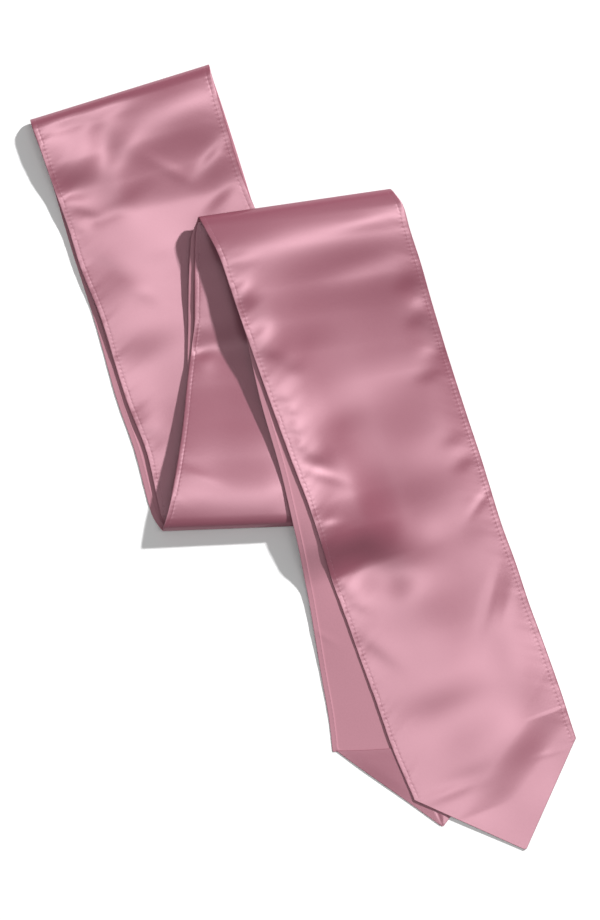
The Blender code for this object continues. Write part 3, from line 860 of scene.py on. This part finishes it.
def closed_sheet(name, outer, inner, outer_normal, inner_normal, places, materials):
    """A closed mesh between two grids of points: glossy outside, dull inside."""
    rows, columns = outer.shape[:2]
    count = rows * columns
    points = np.concatenate([outer.reshape(-1, 3), inner.reshape(-1, 3)]) * METRES
    normals = np.concatenate([outer_normal.reshape(-1, 3), inner_normal.reshape(-1, 3)])
    index = np.arange(count).reshape(rows, columns)
    a, b = index[:-1, :-1].ravel(), index[:-1, 1:].ravel()
    c, d = index[1:, 1:].ravel(), index[1:, :-1].ravel()
    top = np.stack([a, b, c, d], axis=1)
    under = np.stack([a, d, c, b], axis=1) + count
    ring = np.concatenate([index[0, :], index[1:, -1], index[-1, -2::-1], index[-2:0:-1, 0]])
    after = np.roll(ring, -1)
    rim = np.stack([after, ring, ring + count, after + count], axis=1)
    faces = np.concatenate([top, under, rim])
    kind = np.concatenate([np.zeros(len(top)), np.ones(len(under)), np.zeros(len(rim))])
    centre = top[len(top) // 2]
    facing = np.cross(points[centre[1]] - points[centre[0]], points[centre[3]] - points[centre[0]])
    if facing @ normals[centre[0]] < 0:
        faces = faces[:, ::-1]
    mesh = bpy.data.meshes.new(name)
    mesh.vertices.add(len(points))
    mesh.vertices.foreach_set("co", points.ravel())
    mesh.loops.add(faces.size)
    mesh.loops.foreach_set("vertex_index", faces.ravel())
    mesh.polygons.add(len(faces))
    mesh.polygons.foreach_set("loop_start", np.arange(0, faces.size, 4))
    mesh.polygons.foreach_set("material_index", kind.astype(int))
    mesh.update(calc_edges=True)
    layer = mesh.uv_layers.new(name="UVMap")
    flat = np.concatenate([places.reshape(-1, 2), places.reshape(-1, 2)]) * METRES
    layer.data.foreach_set("uv", flat[faces.ravel()].ravel())
    for material in materials:
        mesh.materials.append(material)
    mesh.shade_smooth()
    mesh.normals_split_custom_set_from_vertices(normals.tolist())
    return placed(mesh)


def sheet_of(stretch, sizes, materials):
    """Builds a stretch's sheet. Rows beyond its ends give the folds an unbroken shine."""
    distance = stretch.stations()
    first = 2 * distance[0] - distance[1]
    last = 2 * distance[-1] - distance[-2]
    padded = np.concatenate([[first], distance, [last]])
    left, right = stretch.limits(padded)
    share = left[:, None] + (right - left)[:, None] * column_shares()[None, :]
    outer, inner = stretch.shell(padded, share, sizes)
    outer_normal = grid_normals(outer)
    inner_normal = grid_normals(inner)
    middle = share.shape[1] // 2
    outwards = stretch.path.normals(padded, share)[len(padded) // 2, middle] * stretch.side
    if outer_normal[len(padded) // 2, middle] @ outwards < 0:
        outer_normal = -outer_normal
        inner_normal = -inner_normal
    keep = slice(1, -1)
    if stretch.point is not None:
        outer[-1], inner[-1] = outer[-2], inner[-2]
    places = np.stack([np.broadcast_to(padded[:, None], share.shape), share * STRIP_WIDTH], axis=-1)
    return closed_sheet(
        stretch.name, outer[keep], inner[keep], outer_normal[keep], -inner_normal[keep],
        places[keep], materials,
    )


def stitch_shape():
    """One stitch: places of its rings, their rise and thickness, and the corners of a ring."""
    along = np.array(STITCH_RINGS)
    rise = STITCH_RISE - STITCH_BOW * along**2
    thick = 1 - STITCH_TAPER * along**4
    turn = np.arange(STITCH_CORNERS) * 2 * math.pi / STITCH_CORNERS
    ring = np.stack([np.cos(turn), np.sin(turn)], axis=1)
    return along, rise, thick, ring


def hem_stitches(stretch, edge, sizes):
    """Rings of the stitches along one edge of a stretch, for its glossy and its dull face."""
    pitch = sizes.stitch_pitch / METRES
    line = sizes.stitch_line / METRES / STRIP_WIDTH
    radius = sizes.thread / METRES / 2
    along, rise, thick, ring = stitch_shape()
    stop = stretch.stop
    if stretch.point is not None:
        stop = stretch.path.at_row(stretch.point[edge][0]) - ROOM_AT_CORNER
    first = math.ceil((stretch.start + pitch) / pitch)
    last = math.floor((stop - ROOM_AT_FOLD * pitch) / pitch)
    middle = np.arange(first, last + 1) * pitch
    spots = (middle[:, None] + along[None, :] * pitch * STITCH_HALF).ravel()
    left, right = stretch.limits(spots)
    share = (left + line if edge == "left" else right - line)[:, None]
    outer, inner = stretch.shell(spots, share, sizes)
    outer, inner = outer[:, 0], inner[:, 0]
    outwards = outer - inner
    outwards /= np.linalg.norm(outwards, axis=1, keepdims=True)
    forward = np.gradient(outer.reshape(len(middle), len(along), 3), axis=1).reshape(-1, 3)
    forward /= np.linalg.norm(forward, axis=1, keepdims=True)
    sideways = np.cross(forward, outwards)
    size = np.tile(thick, len(middle))[:, None, None] * radius
    corners = ring[None, :, :1] * sideways[:, None] + ring[None, :, 1:] * outwards[:, None]
    both_faces = []
    for base, way in ((outer, 1.0), (inner, -1.0)):
        height = np.tile(rise, len(middle))[:, None] * radius * way
        rings = (base + outwards * height)[:, None] + size * corners
        rings[..., 2] = np.maximum(rings[..., 2], 0.0)
        both_faces.append(rings.reshape(len(middle), len(along), STITCH_CORNERS, 3))
    return both_faces


def stitch_faces(stitches, steps):
    """Faces of closed stitches, each a run of rings: all their walls, then their caps."""
    walls = []
    for step in range(steps - 1):
        for corner in range(STITCH_CORNERS):
            after = (corner + 1) % STITCH_CORNERS
            low = step * STITCH_CORNERS
            high = low + STITCH_CORNERS
            walls.append((low + corner, low + after, high + after, high + corner))
    ring = np.arange(STITCH_CORNERS)
    caps = np.array([ring[::-1], ring + (steps - 1) * STITCH_CORNERS])
    start = np.arange(stitches)[:, None, None] * steps * STITCH_CORNERS
    walls = (start + np.array(walls)[None]).reshape(-1, 4)
    caps = (start + caps[None]).reshape(-1, STITCH_CORNERS)
    return walls.tolist() + caps.tolist()


def stitching_of(stretch, sizes, material):
    """The stitches of a stretch's two hems, on both faces of the cloth."""
    hems = [hem_stitches(stretch, edge, sizes) for edge in ("left", "right")]
    rings = np.concatenate([*hems[0], *hems[1]])
    points = (rings.reshape(-1, 3) * METRES).tolist()
    mesh = bpy.data.meshes.new(stretch.name + "_stitching")
    mesh.from_pydata(points, [], stitch_faces(*rings.shape[:2]))
    mesh.materials.append(material)
    mesh.shade_smooth()
    return placed(mesh)


def pocket_places(stretch, bow):
    """Where a pocket's mesh stands: distances, shares, and distances of its upper edge."""
    path, point = stretch.path, stretch.point
    first = path.at_row(min(point["left"][0], point["right"][0]))
    tip_at = path.at_row(point["tip"][0])
    last = first + (tip_at - first) * POCKET_STOP
    left, right = stretch.limits(np.array([first, last]))
    spread = np.sin(np.linspace(-1, 1, POCKET_COLUMNS) * math.pi / 2) / 2 + 0.5
    top_share = left[0] + (right[0] - left[0]) * spread
    tip_share = left[1] + (right[1] - left[1]) * spread
    top = pocket_top(path, point, top_share, bow)
    down = (1 - np.cos(np.linspace(0, 1, POCKET_ROWS) * math.pi / 2))[:, None]
    share = top_share * (1 - down) + tip_share * down
    along = top * (1 - down) + last * down
    return along, share, top


def pocket_sheet(name, stretch, bow, full_stack, sizes, materials):
    """The triangle of cloth turned in behind a point, closed against it along both slants."""
    along, share, top = pocket_places(stretch, bow)
    flat_along, flat_share = along.reshape(-1), share.reshape(-1, 1)
    face, normal = stretch.face(flat_along, flat_share, sizes)
    face, normal = face.reshape(*along.shape, 3), normal.reshape(*along.shape, 3)
    cloth = sizes.cloth / METRES
    left, right = stretch.limits(flat_along)
    from_side = np.minimum(flat_share[:, 0] - left, right - flat_share[:, 0])
    from_slant = from_side * STRIP_WIDTH * (1 - SLANT_LOSS)
    from_slant = np.maximum(from_slant, 0).reshape(along.shape)
    from_top = along - top
    at_slant = SLANT_LAYERS * cloth
    swell = smooth((from_slant + SWELL_FROM) / SWELL_LENGTH)
    ease = EASE_SHARES[0] + EASE_SHARES[1] * smooth(from_top / EASE_LENGTH)
    stack = at_slant + (full_stack - at_slant) * swell * ease
    rim = np.clip(1 - np.minimum(from_slant, from_top + RIM_MARGIN) / POCKET_RIM, 0, 1)
    drop = cloth * RIM_DROP * (1 - np.sqrt(1 - rim**2))
    tip_share = stretch.point["tip"][1]
    centre_line = np.exp(-(((share - tip_share) * STRIP_WIDTH / SEAM_WIDTH) ** 2))
    seam = SEAM_DEPTH * centre_line * smooth(from_slant / SEAM_START)
    outer = in_frame(face - normal * (stack - drop - seam)[..., None])
    inner = in_frame(face - normal * (stack - cloth + drop - seam)[..., None])
    outer_normal, inner_normal = grid_normals(outer), grid_normals(inner)
    middle = (POCKET_ROWS // 2, POCKET_COLUMNS // 2)
    if outer_normal[middle] @ -normal[middle] < 0:
        outer_normal, inner_normal = -outer_normal, -inner_normal
    places = np.stack([along, share * STRIP_WIDTH], axis=-1)
    return closed_sheet(name, outer, inner, outer_normal, -inner_normal, places, materials)


def last_row(point):
    """Row at which an end's tip is rounded off."""
    corner = point["left"][0]
    return corner + (point["tip"][0] - corner) * POINT_STOP


def sash_stretches():
    """Every stretch of the strip by name, from the fold at its middle to its two ends."""
    upper = Path(MIDDLE_FOLD_UPPER, MIDDLE_FOLD_LOWER)
    lower = Path(MIDDLE_FOLD_LOWER, MIDDLE_FOLD_UPPER)
    to_tip_a = (TOP_FOLD_ROW, last_row(END_A_POINT))
    to_tip_b = (TOP_FOLD_ROW, last_row(END_B_POINT))
    made = (
        Stretch("back_lower", lower, -1, (MIDDLE_FOLD_LOWER_ROW, LOW_FOLD_ROW), LOWER_EDGES,
                glossy_up=False, step=STEP_HIDDEN),
        Stretch("back_upper", upper, 1, (MIDDLE_FOLD_UPPER_ROW, LOW_FOLD_ROW), UPPER_EDGES,
                creases=(BACK_RIDGES, BACK_SLOPES)),
        Stretch("middle_lower", upper, 1, (LOW_FOLD_ROW, TOP_FOLD_ROW), UPPER_EDGES,
                glossy_up=False, step=STEP_HIDDEN),
        Stretch("middle_upper", lower, -1, (LOW_FOLD_ROW, TOP_FOLD_ROW), LOWER_EDGES,
                creases=(MIDDLE_RIDGES, MIDDLE_SLOPES)),
        Stretch("end_b", lower, -1, to_tip_b, LOWER_EDGES, point=END_B_POINT,
                creases=(END_B_RIDGES, FRONT_SLOPES), glossy_up=False),
        Stretch("end_a", upper, 1, to_tip_a, UPPER_EDGES, point=END_A_POINT,
                lift=lift_end_a, creases=(END_A_RIDGES, FRONT_SLOPES + END_A_SLOPES)),
    )
    return {stretch.name: stretch for stretch in made}


def new_group(name, inputs, outputs):
    """An empty node group with float inputs, given as name and default, and float outputs."""
    group = bpy.data.node_groups.new(name, "ShaderNodeTree")
    for label, value in inputs:
        socket = group.interface.new_socket(label, in_out="INPUT", socket_type="NodeSocketFloat")
        socket.default_value = value
    for label in outputs:
        group.interface.new_socket(label, in_out="OUTPUT", socket_type="NodeSocketFloat")
    return group, group.nodes.new("NodeGroupInput"), group.nodes.new("NodeGroupOutput")


def math_node(group, operation, first, second=None):
    """A math node whose inputs are numbers or other nodes' outputs."""
    node = group.nodes.new("ShaderNodeMath")
    node.operation = operation
    for socket, value in zip(node.inputs, (first, second)):
        if value is None:
            continue
        if isinstance(value, bpy.types.NodeSocket):
            group.links.new(value, socket)
        else:
            socket.default_value = value
    return node.outputs[0]


def cloth_places(group):
    """The place in the cloth as a vector, along the strip and across it, in metres."""
    uv = group.nodes.new("ShaderNodeUVMap")
    uv.uv_map = "UVMap"
    parts = group.nodes.new("ShaderNodeSeparateXYZ")
    group.links.new(uv.outputs[0], parts.inputs[0])
    return uv.outputs[0], parts.outputs[0], parts.outputs[1]


def noise(group, vector, scale, detail):
    """A noise pattern."""
    node = group.nodes.new("ShaderNodeTexNoise")
    node.inputs["Scale"].default_value = scale
    node.inputs["Detail"].default_value = detail
    group.links.new(vector, node.inputs["Vector"])
    return node.outputs["Fac"]


def weave_group():
    """Satin floats: fine streaks along the strip, and a soft mottle on top of them."""
    name = "satin_weave"
    if name in bpy.data.node_groups:
        return bpy.data.node_groups[name]
    group, given, out = new_group(
        name, (("Float Length", 0.0016), ("Float Width", 0.00022)), ("Height", "Tone")
    )
    uv, along, across = cloth_places(group)
    along = math_node(group, "DIVIDE", along, given.outputs["Float Length"])
    across = math_node(group, "DIVIDE", across, given.outputs["Float Width"])
    place = group.nodes.new("ShaderNodeCombineXYZ")
    group.links.new(along, place.inputs[0])
    group.links.new(across, place.inputs[1])
    group.links.new(noise(group, place.outputs[0], 1.0, 1.0), out.inputs["Height"])
    group.links.new(noise(group, uv, MOTTLE_SCALE, 2.0), out.inputs["Tone"])
    return group


def hem_group():
    """Puckers of the stitched hem: a dip at each stitch, along a line beside both edges."""
    name = "stitched_hem"
    if name in bpy.data.node_groups:
        return bpy.data.node_groups[name]
    group, given, out = new_group(
        name,
        (("Strip Width", 0.114), ("Stitch Line", 0.0031), ("Pitch", 0.0028), ("Reach", 0.0016)),
        ("Height",),
    )
    _, along, across = cloth_places(group)
    other_side = math_node(group, "SUBTRACT", given.outputs["Strip Width"], across)
    inward = math_node(group, "MINIMUM", across, other_side)
    off_line = math_node(group, "SUBTRACT", inward, given.outputs["Stitch Line"])
    scaled = math_node(group, "DIVIDE", off_line, given.outputs["Reach"])
    squared = math_node(group, "MULTIPLY", scaled, scaled)
    near = math_node(group, "EXPONENT", math_node(group, "MULTIPLY", squared, -1.0))
    turns = math_node(group, "DIVIDE", along, given.outputs["Pitch"])
    wave = math_node(group, "COSINE", math_node(group, "MULTIPLY", turns, 2 * math.pi))
    group.links.new(math_node(group, "MULTIPLY", wave, near), out.inputs["Height"])
    return group


def new_material(name):
    """A new material with its node tree and its shader."""
    material = bpy.data.materials.new(name)
    material.use_nodes = True
    return material, material.node_tree, material.node_tree.nodes["Principled BSDF"]


def vary_colour(tree, shader, factor, tones, colour):
    """Sets the base colour between two tones of a colour, by a pattern's factor."""
    mix = tree.nodes.new("ShaderNodeMix")
    mix.data_type = "RGBA"
    for socket, tone in zip(("A", "B"), tones):
        mix.inputs[socket].default_value = (*[tone * part for part in colour], 1.0)
    tree.links.new(factor, mix.inputs["Factor"])
    tree.links.new(mix.outputs["Result"], shader.inputs["Base Color"])


def vary_roughness(tree, shader, factor, low, high):
    """Sets the roughness between two values, by a pattern's factor."""
    rough = tree.nodes.new("ShaderNodeMapRange")
    rough.inputs["To Min"].default_value = low
    rough.inputs["To Max"].default_value = high
    tree.links.new(factor, rough.inputs["Value"])
    tree.links.new(rough.outputs["Result"], shader.inputs["Roughness"])


def bump(tree, height, depth):
    """A bump of this depth, in metres."""
    node = tree.nodes.new("ShaderNodeBump")
    node.inputs["Strength"].default_value = 1.0
    node.inputs["Distance"].default_value = depth
    tree.links.new(height, node.inputs["Height"])
    return node


def satin_material(name, colour, shine, roughness, look, hemmed, sizes, turn=0.25):
    """Satin: a saturated body colour under a tinted highlight that is drawn out one way."""
    if name in bpy.data.materials:
        return bpy.data.materials[name]
    material, tree, shader = new_material(name)
    shader.inputs["IOR"].default_value = look["ior"]
    shader.inputs["Specular IOR Level"].default_value = look["level"]
    shader.inputs["Specular Tint"].default_value = (*shine, 1.0)
    shader.inputs["Anisotropic"].default_value = look["anisotropy"]
    shader.inputs["Anisotropic Rotation"].default_value = turn
    tangent = tree.nodes.new("ShaderNodeTangent")
    tangent.direction_type = "UV_MAP"
    tangent.uv_map = "UVMap"
    tree.links.new(tangent.outputs[0], shader.inputs["Tangent"])
    weave = tree.nodes.new("ShaderNodeGroup")
    weave.node_tree = weave_group()
    tone = weave.outputs["Tone"]
    vary_colour(tree, shader, tone, SATIN_TONES, colour)
    vary_roughness(tree, shader, tone, roughness - ROUGHNESS_SPREAD, roughness + ROUGHNESS_SPREAD)
    relief = bump(tree, weave.outputs["Height"], FLOAT_RELIEF)
    if hemmed:
        hem = tree.nodes.new("ShaderNodeGroup")
        hem.node_tree = hem_group()
        hem.inputs["Strip Width"].default_value = STRIP_WIDTH * METRES
        hem.inputs["Stitch Line"].default_value = sizes.stitch_line
        hem.inputs["Pitch"].default_value = sizes.stitch_pitch
        dips = bump(tree, hem.outputs["Height"], HEM_RELIEF)
        dips.invert = True
        tree.links.new(relief.outputs["Normal"], dips.inputs["Normal"])
        relief = dips
    tree.links.new(relief.outputs["Normal"], shader.inputs["Normal"])
    return material


def glossy_satin(context, name, turn, hemmed=True):
    """The glossy side, with its highlights turned by this much from the strip's run."""
    finish, sizes = context.scene.sash_finish, context.scene.sash_sizes
    return satin_material(
        name, finish.glossy, finish.shine, finish.roughness, GLOSSY_LOOK, hemmed, sizes, turn
    )


def dull_satin(context, hemmed=True):
    """The dull side."""
    finish, sizes = context.scene.sash_finish, context.scene.sash_sizes
    name = "dull_satin_hemmed" if hemmed else "dull_satin"
    return satin_material(name, finish.dull, finish.shine, DULL_ROUGHNESS, DULL_LOOK, hemmed, sizes)


def thread_material(context):
    """Sewing thread: two plies twisted round each other."""
    name = "sewing_thread"
    if name in bpy.data.materials:
        return bpy.data.materials[name]
    finish = context.scene.sash_finish
    material, tree, shader = new_material(name)
    shader.inputs["Specular Tint"].default_value = (*finish.shine, 1.0)
    place = tree.nodes.new("ShaderNodeTexCoord")
    plies = tree.nodes.new("ShaderNodeTexWave")
    plies.bands_direction = "DIAGONAL"
    plies.inputs["Scale"].default_value = PLY_SCALE
    tree.links.new(place.outputs["Object"], plies.inputs["Vector"])
    vary_colour(tree, shader, plies.outputs["Fac"], THREAD_TONES, finish.thread)
    vary_roughness(tree, shader, plies.outputs["Fac"], *THREAD_ROUGHNESS)
    return material


def add_stretch(context, key, node):
    """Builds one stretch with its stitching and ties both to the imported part."""
    sizes = context.scene.sash_sizes
    stretch = sash_stretches()[key]
    if key.startswith("middle"):
        glossy = glossy_satin(context, "glossy_satin_hemmed_middle", SHINE_TURN_MIDDLE)
    else:
        glossy = glossy_satin(context, "glossy_satin_hemmed", SHINE_TURN)
    piece = sheet_of(stretch, sizes, (glossy, dull_satin(context)))
    stitching = stitching_of(stretch, sizes, thread_material(context))
    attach(piece, "root")
    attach(stitching, "root")
    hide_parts(node)
    if stretch.point is not None:
        stations = stretch.stations()
        left, right = stretch.limits(stations)
    return piece


def add_pocket(context, name, key, node, bow, full_stack):
    """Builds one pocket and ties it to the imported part."""
    sizes = context.scene.sash_sizes
    stretch = sash_stretches()[key]
    glossy = glossy_satin(context, "glossy_satin", SHINE_TURN_POCKET, hemmed=False)
    materials = (glossy, dull_satin(context, hemmed=False))
    piece = pocket_sheet(name, stretch, bow, full_stack, sizes, materials)
    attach(piece, "root")
    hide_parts(node)
    return piece


class SASH_OT_back_stretches(bpy.types.Operator):
    """Builds the two layers of the back leg, from the fold at the sash's middle to the low fold"""

    bl_idname = "sash.back_stretches"
    bl_label = "Back stretches"

    def execute(self, context):
        add_stretch(context, "back_lower", "back_stretch_lower")
        add_stretch(context, "back_upper", "back_stretch_upper")
        return {"FINISHED"}


class SASH_OT_middle_stretches(bpy.types.Operator):
    """Builds the two layers of the middle leg, from the low fold to the top fold"""

    bl_idname = "sash.middle_stretches"
    bl_label = "Middle stretches"

    def execute(self, context):
        add_stretch(context, "middle_lower", "middle_stretch_lower")
        add_stretch(context, "middle_upper", "middle_stretch_upper")
        return {"FINISHED"}


class SASH_OT_ends(bpy.types.Operator):
    """Builds the two ends that fall from the top fold, one dull side up and one glossy side up"""

    bl_idname = "sash.ends"
    bl_label = "Ends"

    def execute(self, context):
        add_stretch(context, "end_b", "end_b_fall")
        add_stretch(context, "end_a", "end_a_fall")
        return {"FINISHED"}


class SASH_OT_pockets(bpy.types.Operator):
    """Builds the triangles turned in behind the two points"""

    bl_idname = "sash.pockets"
    bl_label = "Pockets"

    def execute(self, context):
        add_pocket(context, "pocket_b", "end_b", "end_b_pocket", POCKET_BOW, STACK_B)
        add_pocket(context, "pocket_a", "end_a", "end_a_pocket", 0.0, STACK_A)
        return {"FINISHED"}


def area_light(name, power, place, width, depth):
    """A soft light that looks at the middle of the sash."""
    data = bpy.data.lights.new(name, "AREA")
    data.shape = "RECTANGLE"
    data.size = width
    data.size_y = depth
    data.energy = power
    light = placed(data)
    light.location = place
    tilt = math.atan2(math.hypot(place[0], place[1]), place[2])
    heading = math.atan2(place[1], place[0])
    light.rotation_euler = (tilt, 0.0, heading + math.pi / 2)


def add_floor(colour):
    """A sheet of white paper with a faint grain."""
    half = FLOOR_HALF
    mesh = bpy.data.meshes.new("floor")
    corners = [(-half, -half, 0.0), (half, -half, 0.0), (half, half, 0.0), (-half, half, 0.0)]
    mesh.from_pydata(corners, [], [(0, 1, 2, 3)])
    floor = placed(mesh)
    floor.location.z = -FLOOR_DROP
    material, tree, shader = new_material("paper")
    shader.inputs["Roughness"].default_value = FLOOR_ROUGHNESS
    shader.inputs["Specular IOR Level"].default_value = FLOOR_LEVEL
    grain = tree.nodes.new("ShaderNodeTexNoise")
    grain.inputs["Scale"].default_value = PAPER_SCALE
    vary_colour(tree, shader, grain.outputs["Fac"], PAPER_TONES, colour)
    mesh.materials.append(material)


def add_lights(stage):
    """The side light that throws the shadows, and the long one straight above."""
    rise = stage.key_elevation
    flat = SIDE_LIGHT_REACH * math.cos(rise) * math.sqrt(0.5)
    place = (flat, flat, SIDE_LIGHT_REACH * math.sin(rise))
    area_light("side_light", stage.key, place, SIDE_LIGHT_SIZE, SIDE_LIGHT_SIZE)
    area_light("overhead_light", stage.overhead, OVERHEAD_PLACE, *OVERHEAD_SIZE)


def add_room(scene, brightness):
    """The even white room around the sash."""
    world = bpy.data.worlds.new("room")
    world.use_nodes = True
    background = world.node_tree.nodes["Background"]
    background.inputs["Color"].default_value = (1.0, 1.0, 1.0, 1.0)
    background.inputs["Strength"].default_value = brightness
    scene.world = world
    scene.view_settings.view_transform = "Standard"


def add_camera(scene):
    """The camera, which looks straight down from far off."""
    data = bpy.data.cameras.new("camera")
    data.sensor_width = SENSOR_WIDTH
    data.lens = data.sensor_width * CAMERA_PLACE[2] / TALL_VIEW
    data.clip_start, data.clip_end = CAMERA_CLIP
    camera = placed(data)
    camera.location = CAMERA_PLACE
    scene.camera = camera


class SASH_OT_stage(bpy.types.Operator):
    """Builds the floor, the lights and the camera that looks straight down"""

    bl_idname = "sash.stage"
    bl_label = "Stage"

    def execute(self, context):
        stage = context.scene.sash_stage
        add_floor(stage.floor)
        add_lights(stage)
        add_room(context.scene, stage.surround)
        add_camera(context.scene)
        return {"FINISHED"}


class SASH_PT_panel(bpy.types.Panel):
    """Lists the sash's sizes, finishes and builders"""

    bl_idname = "SASH_PT_panel"
    bl_label = "Folded satin sash"
    bl_space_type = "VIEW_3D"
    bl_region_type = "UI"
    bl_category = "Sash"

    def draw(self, context):
        layout = self.layout
        for group in (context.scene.sash_sizes, context.scene.sash_finish, context.scene.sash_stage):
            box = layout.box()
            for name in group.bl_rna.properties.keys():
                if name not in ("name", "rna_type"):
                    box.prop(group, name)
        for operator in OPERATORS:
            layout.operator(operator.bl_idname)


OPERATORS = (
    SASH_OT_back_stretches, SASH_OT_middle_stretches, SASH_OT_ends, SASH_OT_pockets, SASH_OT_stage,
)
CLASSES = (SashSizes, SashFinish, SashStage, *OPERATORS, SASH_PT_panel)


def register():
    for item in CLASSES:
        bpy.utils.register_class(item)
    bpy.types.Scene.sash_sizes = bpy.props.PointerProperty(type=SashSizes)
    bpy.types.Scene.sash_finish = bpy.props.PointerProperty(type=SashFinish)
    bpy.types.Scene.sash_stage = bpy.props.PointerProperty(type=SashStage)


def unregister():
    del bpy.types.Scene.sash_stage
    del bpy.types.Scene.sash_finish
    del bpy.types.Scene.sash_sizes
    for item in reversed(CLASSES):
        bpy.utils.unregister_class(item)


def main():
    register()
    bpy.ops.sash.stage()
    bpy.ops.sash.back_stretches()
    bpy.ops.sash.middle_stretches()
    bpy.ops.sash.ends()
    bpy.ops.sash.pockets()


if __name__ == "__main__":
    main()
